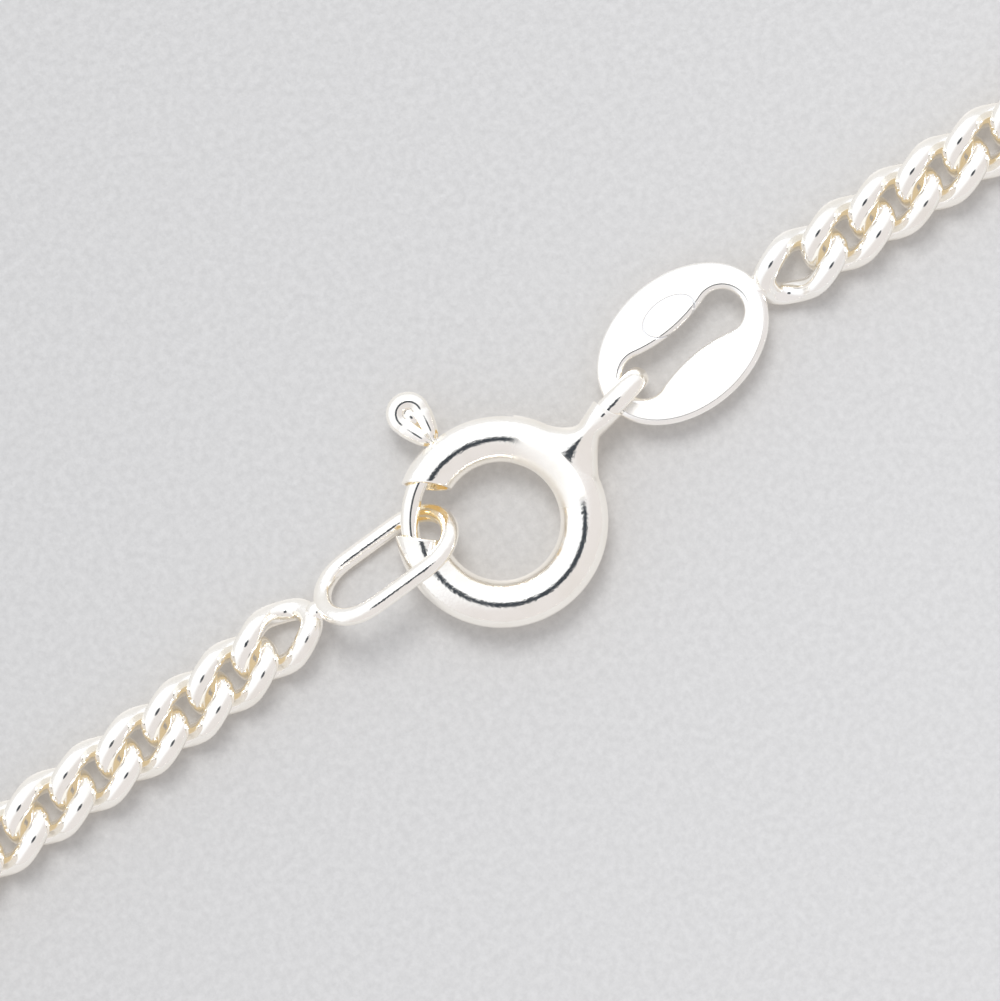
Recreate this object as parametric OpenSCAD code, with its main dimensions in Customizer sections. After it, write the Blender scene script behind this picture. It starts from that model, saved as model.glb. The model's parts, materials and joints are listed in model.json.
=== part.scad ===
// Curb chain necklace, closed with a spring ring and laid flat as one loop.
// Lengths are millimetres. X runs along the chain at the clasp, Y points away from the loop, Z is up.
// The origin is on the surface it rests on, under the middle of the whole loop.

/* [Chain] */
// Thickness of the link wire
wire_d = 0.7; // [0.5:0.02:0.74]
// Distance from one link to the next
pitch = 1.86; // [1.8:0.02:2.4]
// Room left where two links bear on each other
link_gap = 0.12; // [0.1:0.02:0.3]
// Width of a link over both sides
link_w = 2.42; // [2.36:0.02:2.8]
// Twist of a link at each of its ends
link_twist = 46; // [42:1:50]
// How soon the twist is reached, where a small number is close to the link's middle
twist_start = 0.6; // [0.5:0.05:0.9]
// Fullness of a link's oval, where 2 is an ellipse
link_fullness = 2.6; // [2.4:0.1:3]
// Links in the chain, with the two that are soldered to the clasp's parts
link_count = 232; // [180:2:320]
// Links modelled one by one on each side of the clasp
own_links = 20; // [6:1:22]

/* [Lie of the chain] */
// Radius of the gentle bow that holds the clasp
bow_r = 450; // [300:10:900]
// Length of that bow
bow_len = 54; // [50:1:70]
// How far right of the bow's middle the spring ring lies
clasp_shift = 6; // [2:0.5:8]
// How far the spring ring's middle lies inside the chain's line
ring_drop = 1.46; // [1.2:0.02:1.7]
// How far the chain's left end hangs inside the bow's line
left_hang = 0.38; // [0.2:0.02:0.44]
// Where it hangs most, left of the spring ring's middle
hang_at = 11.8; // [11:0.1:12.5]
// Length of chain over which it comes back to that line
hang_len = 6.5; // [6:0.1:9]

/* [Spring ring] */
// Outer diameter of the ring
ring_d = 7.06; // [6.8:0.02:8]
// Diameter of its tube
tube_d = 1.58; // [1.5:0.02:1.8]
// Wall of the tube
tube_wall = 0.14; // [0.1:0.01:0.16]
// Width of the opening sawn through the tube
mouth_w = 1.72; // [1.5:0.02:1.9]
// Direction of the opening from the ring's middle
mouth_turn = 137.5; // [134:0.5:141]
// Height left under the eye, where the ring rests
rest_gap = 0.05; // [0.03:0.01:0.1]

/* [Eye] */
// Direction of the neck and eye from the ring's middle
neck_turn = 10.5; // [5:0.5:14]
// Length of the neck from the ring to the step of its collar
neck_len = 1.52; // [1.4:0.02:1.9]
// Width of the neck at its foot on the ring
neck_foot_d = 1.44; // [1.2:0.02:1.5]
// Width of the collar
collar_w = 0.92; // [0.86:0.02:1.1]
// Length of the collar
collar_len = 0.85; // [0.6:0.05:1]
// Thickness of the eye's wire
eye_d = 0.74; // [0.6:0.02:0.78]
// Height of the eye over its wire
eye_h = 2.2; // [2.1:0.02:2.5]
// Length of the hole in the eye
eye_len = 1.1; // [1.06:0.02:1.4]

/* [Latch] */
// Thickness of the latch wire
latch_d = 0.62; // [0.5:0.02:0.64]
// Room between the latch and the tube around it
latch_gap = 0.06; // [0.05:0.01:0.08]
// Depth to which the closed latch enters the far end of the tube
latch_grip = 0.45; // [0.3:0.05:0.6]
// Diameter of the trigger's ball
knob_d = 1.38; // [1.1:0.02:1.6]
// Distance of the ball from the ring's middle
knob_reach = 4.75; // [4.6:0.05:5.2]
// Direction of the trigger when the latch is closed
knob_turn = 95; // [90:0.5:98]
// Thickness of the trigger's stem
stem_d = 0.5; // [0.4:0.02:0.56]

/* [Tag] */
// Length of the oval tag
tag_l = 6.34; // [6.3:0.02:7]
// Width of the tag
tag_w = 4.58; // [4.2:0.02:5]
// Thickness of the tag
tag_t = 0.3; // [0.24:0.02:0.36]
// Direction of the tag's long side
tag_turn = 4; // [2:0.5:6]
// Width of the round ends of the slot
slot_end_d = 1.46; // [1.3:0.02:1.5]
// Width of the slot's waist
slot_waist = 0.98; // [0.8:0.02:1.1]
// Width of the rim left between the slot and the tag's tip
tag_rim = 0.76; // [0.7:0.02:0.8]

/* [End ring] */
// Length of the oval end ring over its wire
end_l = 5.56; // [5.5:0.02:5.7]
// Width of the end ring over its wire
end_w = 3.34; // [3.3:0.02:3.4]
// Thickness of its wire
end_d = 0.6; // [0.5:0.02:0.62]
// Lean of the end ring, its near side up over the spring ring
end_lean = 50; // [48:0.5:52]
// Distance of its middle from the spring ring's middle, along the chain and across it
end_along = 3.92; // [3.88:0.01:3.98]
end_across = 1.08; // [1.04:0.01:1.12]

/* [Solder] */
// Distance between the end ring's wire and the last link's wire, line to line
end_joint = 0.58; // [0.5:0.02:0.62]
// Diameter of a bead of solder
solder_d = 0.8; // [0.7:0.02:0.9]
// How far soldered wires run into each other
solder_bite = 0.3; // [0.2:0.02:0.34]

/* [Hidden] */
$fn = 48;

// A link: steps round its oval and sides of its wire
link_steps = 12;
wire_sides = 6;
half_len = (pitch + wire_d + link_gap) / 2;
half_wid = (link_w - wire_d) / 2;
link_rise = max([for (t = [0 : 5 : 355]) link_point(t)[2]]);
link_z = link_rise + wire_d / 2;

// Heights over the surface
ring_z = rest_gap + eye_h / 2;
tag_sag = 0.05;
tag_z = ring_z - tag_sag;

// Spring ring
ring_c = (ring_d - tube_d) / 2;
bore_d = tube_d - 2 * tube_wall;
neck_root = ring_c + 0.2;
neck_end = ring_d / 2 + neck_len;
eye_c = (eye_h - eye_d) / 2;
eye_tip = neck_end + eye_len + eye_d / 2;

// Latch: angles about the ring's middle
latch_r = ring_c + bore_d / 2 - latch_gap - latch_d / 2;
mouth_half = asin(mouth_w / 2 / latch_r);
latch_tip = mouth_turn + mouth_half + arc_deg(latch_grip, latch_r);
latch_tail = knob_turn - arc_deg(stem_d, latch_r);
travel = latch_tip - mouth_turn + mouth_half;
slit_side = arc_deg(stem_d / 2 + latch_gap, latch_r);
slit_h = stem_d + 2 * latch_gap;
// The trigger's foot stays clear of the ring, and meets the ball where it is nearly full
foot_gap = 0.08;
foot_len = knob_reach - 0.14 * knob_d - ring_d / 2 - foot_gap;

// Tag: its rim stands in the middle of the eye's hole
tag_reach = (tag_l - tag_rim) / 2;
tag_at = polar(neck_end + eye_len / 2, neck_turn) + polar(tag_reach, tag_turn);
tag_tip = tag_at + polar(tag_l / 2, tag_turn);
slot_c = (tag_l - slot_end_d) / 2 - tag_rim;

// Where the chain starts and ends, measured along it from the spring ring's middle
right_reach = tag_tip[0] + half_len + wire_d / 2 - solder_bite / 2;
left_reach = end_along + (end_l - end_d) / 2 + end_joint + half_len;

// End ring: the height at which its low side rests
end_side = (end_w - end_d) / 2;
end_z = end_d / 2 + end_side * sin(end_lean);

// The loop: two gentle bows joined by two round ends
loop_len = (link_count - 1) * pitch + right_reach + left_reach;
bow_half = bow_len / 2;
bow_turn = arc_deg(bow_half, bow_r);
side_len = loop_len / 2 - bow_len;
end_r = side_len / (180 - 2 * bow_turn) * 180 / PI;
bow_c = (bow_r - end_r) * cos(bow_turn);
end_c = (bow_r - end_r) * sin(bow_turn);
loop_h = bow_r - bow_c;
// The trigger's ball reaches past the chain, so the loop lies a little to the near side
knob_top = knob_reach * sin(knob_turn) + knob_d / 2 - ring_drop;
loop_y = (link_w / 2 - knob_top) / 2;
clasp_at = [clasp_shift, loop_y + loop_h - ring_drop];

// The hidden stretch behind the modelled links
back_gap = 0.15;
back_room = 0.02;
back_step = 2.5;
back_sides = 8;
back_from = link_at(own_links) + half_len + wire_d / 2 + back_gap;
back_to = link_at(link_count - 1 - own_links) - half_len - wire_d / 2 - back_gap;
back_rings = ceil((back_to - back_from) / back_step);

function arc_deg(len, r) = len / r * 180 / PI;
function polar(r, turn) = [r * cos(turn), r * sin(turn)];
function unit(v) = v / norm(v);
function ellipse(a, b, n) = [for (i = [0 : n - 1]) [a * cos(360 * i / n), b * sin(360 * i / n)]];
// A number raised to a power with its sign kept
function bend(v, p) = sign(v) * pow(abs(v), p);

// A link's centre line: a full oval whose plane is rolled over from one end to the other, most of
// it near the middle
function link_roll(t) =
    let (u = bend(cos(t), 2 / link_fullness))
    -link_twist * u * sqrt((1 + twist_start * twist_start) / (u * u + twist_start * twist_start));
function link_point(t) =
    let (x = half_len * bend(cos(t), 2 / link_fullness),
         y = half_wid * bend(sin(t), 2 / link_fullness),
         roll = link_roll(t))
    [x, y * cos(roll), y * sin(roll)];

// Distance along the loop, from the bow's middle, of link number i
function link_at(i) = clasp_shift + right_reach + i * pitch;
// How far inside its line the chain hangs at a distance from where it hangs most, and its slope
function hang(d) = left_hang * exp(-(d / hang_len) * (d / hang_len));
function hang_slope(d) = -2 * d / (hang_len * hang_len) * hang(d);
// A point of the loop with its turn: the arcs follow each other from the bow's middle
function on_arc(middle, r, turn) =
    [middle[0] + r * sin(turn), middle[1] + loop_y + r * cos(turn), -turn];
function on_left(d, turn) =
    on_arc([0, -bow_c], bow_r - hang(d), turn) - [0, 0, atan(hang_slope(d))];
function route(s) =
    let (q = s % loop_len,
         side_1 = bow_half + side_len,
         bow_2 = side_1 + bow_len,
         side_2 = bow_2 + side_len)
    q <= bow_half ? on_arc([0, -bow_c], bow_r, arc_deg(q, bow_r)) :
    q <= side_1 ? on_arc([end_c, 0], end_r, bow_turn + arc_deg(q - bow_half, end_r)) :
    q <= bow_2 ? on_arc([0, bow_c], bow_r, 180 - bow_turn + arc_deg(q - side_1, bow_r)) :
    q <= side_2 ? on_arc([-end_c, 0], end_r, 180 + bow_turn + arc_deg(q - bow_2, end_r)) :
    on_left(q - loop_len - clasp_shift + hang_at, 360 + arc_deg(q - loop_len, bow_r));

// Faces of a tube of n rings with k sides, closed on itself or capped
function ring_faces(n, k, closed) =
    [for (i = [0 : closed ? n - 1 : n - 2], j = [0 : k - 1])
        let (i2 = (i + 1) % n, j2 = (j + 1) % k)
        each [[i * k + j, i2 * k + j, i2 * k + j2], [i * k + j, i2 * k + j2, i * k + j2]]];
function cap_faces(n, k) =
    [[for (j = [0 : k - 1]) j], [for (j = [k - 1 : -1 : 0]) (n - 1) * k + j]];

// One link, its middle at the origin and its length along X
module link() {
    points = [for (i = [0 : link_steps - 1])
        let (t = 360 * i / link_steps,
             p = link_point(t),
             along = unit(link_point(t + 1) - link_point(t - 1)),
             flat = [0, -sin(link_roll(t)), cos(link_roll(t))],
             side = unit(cross(flat, along)),
             up = cross(along, side))
        for (j = [0 : wire_sides - 1])
            let (a = 360 * j / wire_sides)
            p + wire_d / 2 * (cos(a) * side + sin(a) * up)];
    polyhedron(points, ring_faces(link_steps, wire_sides, true));
}

// Link number i at its place in the loop
module placed_link(i) {
    at = route(link_at(i));
    translate([at[0], at[1], link_z]) rotate([0, 0, at[2]]) link();
}

module chain_link(i) { color("silver") placed_link(i); }

module chain_back() {
    // A little wider than the links, so that its flats still hold them where it curves
    half_w = (link_w / 2 + back_room) / cos(180 / back_sides);
    points = [for (i = [0 : back_rings])
        let (at = route(back_from + (back_to - back_from) * i / back_rings))
        for (j = [0 : back_sides - 1])
            let (a = 360 * (j + 0.5) / back_sides)
            [at[0] - half_w * cos(a) * sin(at[2]), at[1] + half_w * cos(a) * cos(at[2]),
             link_z * (1 + sin(a) / cos(180 / back_sides))]];
    color("silver")
        polyhedron(points, concat(
            ring_faces(back_rings + 1, back_sides, false), cap_faces(back_rings + 1, back_sides)));
}

// The neck, its collar and the closed eye, along X from the ring's middle
module neck_and_eye() {
    translate([neck_root, 0, 0]) rotate([0, 90, 0])
        cylinder(h = neck_end - collar_len / 2 - neck_root, d1 = neck_foot_d, d2 = collar_w);
    translate([neck_end - collar_len, 0, 0]) rotate([0, 90, 0])
        linear_extrude(collar_len) polygon(ellipse(eye_h / 2, collar_w / 2, 24));
    straight = eye_tip - eye_c - neck_end + collar_len / 2;
    for (z = [-eye_c, eye_c])
        translate([eye_tip - eye_c - straight, 0, z]) rotate([0, 90, 0])
            cylinder(h = straight, d = eye_d);
    translate([eye_tip - eye_c, 0, 0]) rotate([90, 0, 0]) rotate([0, 0, -90])
        rotate_extrude(angle = 180) translate([eye_c, 0]) circle(d = eye_d);
}

module spring_ring() {
    color("silver") translate([clasp_at[0], clasp_at[1], ring_z]) difference() {
        union() {
            rotate_extrude() translate([ring_c, 0]) circle(d = tube_d);
            rotate([0, 0, neck_turn]) neck_and_eye();
        }
        rotate_extrude() translate([ring_c, 0]) circle(d = bore_d);
        rotate([0, 0, mouth_turn]) translate([0, -mouth_w / 2, -tube_d])
            cube([ring_d, mouth_w, 2 * tube_d]);
        rotate([0, 0, knob_turn - travel - slit_side])
            rotate_extrude(angle = travel + 2 * slit_side)
                translate([ring_c, -slit_h / 2]) square([tube_d, slit_h]);
    }
}

module latch() {
    color("silver") translate([clasp_at[0], clasp_at[1], ring_z]) {
        rotate([0, 0, latch_tail]) rotate_extrude(angle = latch_tip - latch_tail)
            translate([latch_r, 0]) circle(d = latch_d);
        rotate([0, 0, knob_turn]) {
            translate([latch_r, 0, 0]) rotate([0, 90, 0])
                cylinder(h = knob_reach - latch_r, d = stem_d);
            translate([ring_d / 2 + foot_gap, 0, 0]) rotate([0, 90, 0])
                cylinder(h = foot_len, d1 = knob_d * 0.68, d2 = knob_d * 0.96);
            translate([knob_reach, 0, 0]) sphere(d = knob_d);
        }
    }
}

module tag() {
    color("whitesmoke") {
        translate([clasp_at[0] + tag_at[0], clasp_at[1] + tag_at[1], tag_z - tag_t / 2])
            rotate([0, 0, tag_turn]) linear_extrude(tag_t) difference() {
                polygon(ellipse(tag_l / 2, tag_w / 2, 72));
                for (x = [-slot_c, slot_c]) translate([x, 0]) circle(d = slot_end_d);
                square([2 * slot_c, slot_waist], center = true);
            }
        translate([clasp_at[0] + tag_tip[0], clasp_at[1] + tag_tip[1] - solder_bite / 2, link_z])
            sphere(d = solder_d);
        placed_link(0);
    }
}

module end_ring() {
    half = (end_l - end_w) / 2;
    // The solder sits midway between the two wires
    last = route(link_at(link_count - 1));
    wire_1 = [last[0], last[1]] + polar(half_len, last[2]);
    wire_2 = clasp_at + [-end_along - (end_l - end_d) / 2, end_across];
    joint = (wire_1 + wire_2) / 2;
    color("silver") {
        translate([clasp_at[0] - end_along, clasp_at[1] + end_across, end_z])
            rotate([-end_lean, 0, 0]) {
                for (y = [-end_side, end_side])
                    translate([-half, y, 0]) rotate([0, 90, 0]) cylinder(h = 2 * half, d = end_d);
                for (turn = [0, 180])
                    rotate([0, 0, turn]) translate([half, 0, 0]) rotate([0, 0, -90])
                        rotate_extrude(angle = 180) translate([end_side, 0]) circle(d = end_d);
            }
        translate([joint[0], joint[1], (end_z + link_z) / 2])
            rotate([0, 90, 0]) sphere(d = solder_d);
        placed_link(link_count - 1);
    }
}

spring_ring();
latch();
tag();
end_ring();
chain_back();
for (i = [1 : own_links]) {
    chain_link(link_count - 1 - i);
    chain_link(i);
}
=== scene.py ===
# %% [markdown]
# # A silver curb chain closed with a spring ring
# The necklace lies flat as one closed loop of 232 links, with its clasp in front of the camera.
# The CAD frame says where everything is. This lesson dresses it: each link, the sawn tube of the
# clasp, its sprung latch and the oval tag become smooth surfaces, and all of them get a finish of
# polished silver that shows the small unevenness of a worked metal.

# %% Frame
import json
import math
import bpy
import numpy as np
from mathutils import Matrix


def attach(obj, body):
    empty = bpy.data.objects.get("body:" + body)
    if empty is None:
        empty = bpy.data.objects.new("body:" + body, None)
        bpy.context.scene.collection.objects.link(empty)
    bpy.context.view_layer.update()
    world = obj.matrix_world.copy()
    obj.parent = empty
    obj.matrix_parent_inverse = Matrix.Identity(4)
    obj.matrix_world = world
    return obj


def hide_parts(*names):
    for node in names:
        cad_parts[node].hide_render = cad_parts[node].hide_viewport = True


MM = 0.001
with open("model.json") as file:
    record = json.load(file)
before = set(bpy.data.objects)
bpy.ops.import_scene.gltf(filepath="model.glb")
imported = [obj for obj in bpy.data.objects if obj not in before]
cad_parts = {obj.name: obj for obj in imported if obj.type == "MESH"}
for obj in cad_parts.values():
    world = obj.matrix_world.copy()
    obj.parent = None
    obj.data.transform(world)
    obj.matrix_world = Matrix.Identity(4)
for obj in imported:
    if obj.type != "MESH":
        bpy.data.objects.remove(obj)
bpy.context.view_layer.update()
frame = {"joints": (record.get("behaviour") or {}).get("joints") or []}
CLASP = np.array(frame["joints"][0]["pos_m"]) / MM
print("Middle of the spring ring, where its latch turns, mm:", CLASP.round(3).tolist())

# %% [markdown]
# ## Surfaces as grids
# Everything on this necklace is a wire, a tube or a plate with soft edges, so one kind of surface
# does for all of it: rows of points, each row a closed ring, one row after the other. The rows
# either join up again, as round a link, or end in a point, as on a rounded wire end. Working in
# whole arrays keeps a link of a thousand points as easy to write as a link of ten.

# %% Joining rows of points into a closed skin
def grid_quads(rows, around, joined):
    """Corners of the four-sided faces between rows of a grid. Face (i, j) takes the points
    (i, j), (i + 1, j), (i + 1, j + 1), (i, j + 1), with j going round, and i too if joined."""
    i, j = np.meshgrid(np.arange(rows if joined else rows - 1), np.arange(around), indexing="ij")
    i2 = (i + 1) % rows
    j2 = (j + 1) % around
    corners = [i * around + j, i2 * around + j, i2 * around + j2, i * around + j2]
    return np.stack([c.ravel() for c in corners], 1)


def fan(first, around, tip):
    """Three-sided faces from a ring of points, starting at number first, to its tip."""
    j = np.arange(around)
    return np.stack([first + j, first + (j + 1) % around, np.full(around, tip)], 1)


def volume(points, quads, tris):
    """Signed volume: a sixth of the sum of a . (b x c) over the triangles of a closed skin."""
    three = np.concatenate([quads[:, [0, 1, 2]], quads[:, [0, 2, 3]], tris])
    a, b, c = (points[three[:, k]] for k in range(3))
    return np.einsum("ij,ij->", a, np.cross(b, c)) / 6


def outward(points, quads, tris):
    """The same skin with its faces turned outwards, which is where its volume is positive."""
    if volume(points, quads, tris) < 0:
        return points, quads[:, ::-1], tris[:, ::-1]
    return points, quads, tris


def skin(grid, joined):
    """A closed skin from a grid of rows x around points. Where the rows don't join up, each end is
    closed by a fan of triangles to the middle of its last row."""
    rows, around = grid.shape[:2]
    points = grid.reshape(-1, 3)
    quads = grid_quads(rows, around, joined)
    tris = np.zeros((0, 3), int)
    if not joined:
        start = fan(0, around, len(points))
        end = fan((rows - 1) * around, around, len(points) + 1)
        tris = np.concatenate([start, end[:, ::-1]])
        points = np.concatenate([points, grid[:1].mean(1), grid[-1:].mean(1)])
    return outward(points, quads, tris)


print("A closed grid of 4 rows by 3 points has", len(grid_quads(4, 3, True)), "faces")

# %% Putting skins into a piece
CREASE = 42
made_pieces = []


def add_object(name, data):
    """A new object with this mesh, light or camera, in the scene."""
    made = bpy.data.objects.new(name, data)
    bpy.context.collection.objects.link(made)
    return made


def make_piece(name, skins, finish, slot, body, *nodes, crease=CREASE):
    """Joins closed skins, in millimetres, to one smooth piece in metres. Edges that turn by more
    than crease degrees stay sharp. It rides on a body and replaces the CAD nodes named."""
    shift = np.cumsum([0] + [len(points) for points, _, _ in skins])
    points = np.concatenate([points for points, _, _ in skins]) * MM
    quads = np.concatenate([quads + start for (_, quads, _), start in zip(skins, shift)])
    tris = np.concatenate([tris + start for (_, _, tris), start in zip(skins, shift)])
    mesh = bpy.data.meshes.new(name)
    mesh.from_pydata(points, [], quads.tolist() + tris.tolist())
    mesh.polygons.foreach_set("use_smooth", np.ones(len(mesh.polygons), bool))
    mesh.set_sharp_from_angle(angle=math.radians(crease))
    mesh.materials.append(finish)
    piece = add_object(name, mesh)
    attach(piece, body)
    if nodes:
        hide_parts(*nodes)
    made_pieces.append((name, 2 * len(quads) + len(tris)))


print("Edges that turn by more than", CREASE, "degrees stay sharp")

# %% Turned points, lines and swept wires
def unit(v):
    """Each vector divided by its length."""
    return v / np.linalg.norm(v, axis=-1, keepdims=True)


def polar(reach, turn):
    """The point at this reach in the direction turn, seen from above."""
    return np.array([reach * math.cos(turn), reach * math.sin(turn), 0])


def turned(points, angle):
    """Points turned about Z, anticlockwise seen from above."""
    x, y, z = points[..., 0], points[..., 1], points[..., 2]
    cos, sin = np.cos(angle), np.sin(angle)
    return np.stack(np.broadcast_arrays(x * cos - y * sin, x * sin + y * cos, z), -1)


def run_along(line):
    """The distance run along a line at each of its points."""
    return np.concatenate([[0], np.cumsum(np.linalg.norm(np.diff(line, axis=0), axis=1))])


def at_runs(line, run, wanted):
    """A line's columns at the wanted distances, run being the distance at each point."""
    return np.stack([np.interp(wanted, run, column) for column in line.T], 1)


def ellipsoid(middle, halves, rows, around):
    """A grid of middle + half sizes * (cos w cos l, cos w sin l, sin w), all but the poles."""
    w = np.linspace(-0.49 * np.pi, 0.49 * np.pi, rows)[:, None]
    l = np.linspace(0, 2 * np.pi, around, endpoint=False)[None]
    ball = np.stack([np.cos(w) * np.cos(l), np.cos(w) * np.sin(l), np.sin(w) + 0 * l], -1)
    return ball * halves + middle


def sweep(line, side, rise, half_side, half_rise, around):
    """A wire's surface: line point + half_side * cos a * side + half_rise * sin a * rise, for a
    going round in equal steps. The half widths may change from row to row."""
    a = np.linspace(0, 2 * np.pi, around, endpoint=False)
    wide = np.broadcast_to(half_side, len(line))[:, None] * np.cos(a)
    high = np.broadcast_to(half_rise, len(line))[:, None] * np.sin(a)
    return line[:, None] + wide[..., None] * side[:, None] + high[..., None] * rise[:, None]


print("One step along X, turned by 90 degrees:", turned(polar(1, 0), np.pi / 2).round(3))

# %% [markdown]
# ## Reckoning with shader sockets
# A finish such as polished silver is mostly arithmetic: patterns added, scaled and cut off. Node
# by node that is long to write, so one small class lets a socket be used like a number. Each
# operator adds one Math node, and one method adds any other node.

# %% A socket that can be reckoned with
class Wire:
    """One output of a shader node. a + b, 2 - a and a * b each add a Math node."""

    def __init__(self, tree, socket):
        self.tree = tree
        self.socket = socket

    def node(self, kind, settings, values, output=0):
        """Adds a node of any kind: settings by name, then inputs by name or number, each a value
        or another Wire. Gives back the output asked for."""
        made = self.tree.nodes.new(kind)
        for name, value in settings.items():
            setattr(made, name, value)
        for name, value in values.items():
            if isinstance(value, Wire):
                self.tree.links.new(value.socket, made.inputs[name])
            else:
                made.inputs[name].default_value = value
        return Wire(self.tree, made.outputs[output])

    def maths(self, operation, first, second):
        return self.node("ShaderNodeMath", {"operation": operation}, {0: first, 1: second})

    def __add__(self, other):
        return self.maths("ADD", self, other)

    def __radd__(self, other):
        return self.maths("ADD", other, self)

    def __sub__(self, other):
        return self.maths("SUBTRACT", self, other)

    def __rsub__(self, other):
        return self.maths("SUBTRACT", other, self)

    def __mul__(self, other):
        return self.maths("MULTIPLY", self, other)

    def __rmul__(self, other):
        return self.maths("MULTIPLY", other, self)

    def __truediv__(self, other):
        return self.maths("DIVIDE", self, other)

    def __pow__(self, other):
        return self.maths("POWER", self, other)

    def above(self, edge):
        return self.maths("GREATER_THAN", self, edge)

    def reach(self, across):
        """How far a point is that lies this far one way and the other value across."""
        return (self * self + across * across) ** 0.5

    def between(self, low, high):
        """Rises smoothly from 0 to 1 as the value goes from low to high."""
        settings = {"interpolation_type": "SMOOTHSTEP"}
        return self.node("ShaderNodeMapRange", settings, {0: self, 1: low, 2: high})

    def mix(self, first, second):
        """Goes from the first colour to the second as this value goes from 0 to 1."""
        return self.node("ShaderNodeMix", {"data_type": "RGBA"}, {0: self, 6: first, 7: second}, 2)

    def noise(self, size, detail, rough=0.5):
        """Soft noise from 0 to 1 with lumps of about this size in metres, on these coordinates."""
        values = {"Vector": self, "Scale": 1 / size, "Detail": detail, "Roughness": rough}
        return self.node("ShaderNodeTexNoise", {}, values)

    def split(self, axis):
        return self.node("ShaderNodeSeparateXYZ", {}, {0: self}, axis)


# %% Starting a finish and plugging into it
def start_finish(name):
    """A new material, its Principled shader, and its Object coordinates in metres."""
    material = bpy.data.materials.new(name)
    material.use_nodes = True
    tree = material.node_tree
    place = Wire(tree, tree.nodes.new("ShaderNodeTexCoord").outputs["Object"])
    return material, tree.nodes["Principled BSDF"], place


def plug(shader, name, wire):
    """Links a varying value to one of the shader's inputs."""
    wire.tree.links.new(wire.socket, shader.inputs[name])


def plugged(shader, name):
    """What is linked to one of the shader's inputs so far."""
    return Wire(shader.id_data, shader.inputs[name].links[0].from_socket)


# %% [markdown]
# ## Polished silver
# Silver reflects nearly all light, a little less of the blue, so its own colour is a warm near
# white and everything else is reflection. What tells silver from a perfect mirror is how it was
# worked: tumbling leaves the surface slightly wavy, which makes the edge of a reflection ragged,
# and handling leaves a faint haze. So the colour is almost even, roughness drifts with a coarse
# noise, and two fine noises tilt the surface through a Bump node by a degree or so.
#
# The light that mirrors throw on to the things beside them is slow to find, so the renderer leaves
# it out, and silver would stand in a pit of shade. A Light Path node mends that. A mirror in a
# white tent looks about as bright as the tent, whichever way one looks at it, so to rays that come
# from the paper the metal simply has that even brightness, a little golden from its own tint. Rays
# that have met silver three times get it too, more golden, since each meeting takes some blue.

# %% Silver, with more or less haze and waviness
PASSED_ON = (0.76, 0.68, 0.59, 1)
DEEP = (0.76, 0.65, 0.48, 1)
SILVER_TINT = (0.975, 0.945, 0.885, 1)
HAZY_SHARE = (0.96, 0.955, 0.94, 1)
HAZE_SIZE = 0.0011


def silver_finish(name, haze, wave, lump, tooth, tint=SILVER_TINT):
    """Metal whose roughness is haze * (0.6 + 0.8 * coarse noise), and whose height is wave metres
    times two noises: lumps of size lump metres, and lumps a third of that at tooth times the
    height. Rays from the paper and deep rays find an even glow in its place."""
    material, shader, place = start_finish(name)
    shader.inputs["Metallic"].default_value = 1.0
    coarse = place.noise(HAZE_SIZE, 3.0)
    hazy = tuple(colour * share for colour, share in zip(tint, HAZY_SHARE))
    plug(shader, "Base Color", coarse.between(0.45, 0.75).mix(tint, hazy))
    plug(shader, "Roughness", haze * (0.6 + 0.8 * coarse))
    height = place.noise(lump, 1.0) + tooth * place.noise(lump / 3, 3.0)
    values = {"Strength": 1.0, "Distance": wave, "Height": height}
    plug(shader, "Normal", place.node("ShaderNodeBump", {}, values))
    look = Wire(place.tree, shader.outputs[0])
    for ray, edge, colour in (("Is Diffuse Ray", 0.5, PASSED_ON), ("Glossy Depth", 2.5, DEEP)):
        even = place.node("ShaderNodeEmission", {}, {"Color": colour, "Strength": 1.0})
        such = place.node("ShaderNodeLightPath", {}, {}, ray).above(edge)
        look = place.node("ShaderNodeMixShader", {}, {0: such, 1: look, 2: even})
    place.tree.links.new(look.socket, place.tree.nodes["Material Output"].inputs["Surface"])
    material.cycles.emission_sampling = "NONE"
    return material, shader, place


chain_silver = silver_finish("Tumbled silver", 0.12, 6e-6, 0.0004, 0.1)[0]
ring_silver, ring_shader, ring_place = silver_finish("Polished tube silver", 0.10, 4e-6, 0.0003,
                                                     1.5)
latch_silver = silver_finish("Drawn wire silver", 0.12, 4e-6, 0.0004, 0.1)[0]
print("Silvers:", [metal.name for metal in (chain_silver, ring_silver, latch_silver)])

# %% [markdown]
# ## The lie of the chain
# The chain lies as a closed loop of four arcs: a gentle bow of 450 mm radius that holds the clasp,
# a round end, a second bow, and the other round end. A link's place is its distance along this
# line, so the links are spread evenly by counting, and each one is turned the way the line runs.
# Left of the clasp the chain hangs a little inside that line, because it pulls at the end ring,
# which lies lower. Where the links start follows from the clasp: the tag's rim stands in the middle
# of the eye's hole, the first link is soldered to the tag's tip, and the last link to the end ring.

# %% From the ring's middle to the first link and the last
# Half a link's middle line, then the neck, the eye's hole and the tag, going outwards
HALF_LEN = 1.34
NECK_TURN = math.radians(10.5)
NECK_END = 5.05
EYE_HALF = 0.55
TAG_TURN = math.radians(4)
TAG_HALF = np.array([3.17, 2.29])
TAG_RIM = 0.76
TAG_SAG = 0.05
TAG_JOINT = 0.20
# The end ring: its middle along the chain, its straight runs, its half circles, its solder
END_ALONG = 3.92
END_HALF = 1.11
END_SIDE = 1.37
END_JOINT = 0.58

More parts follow.
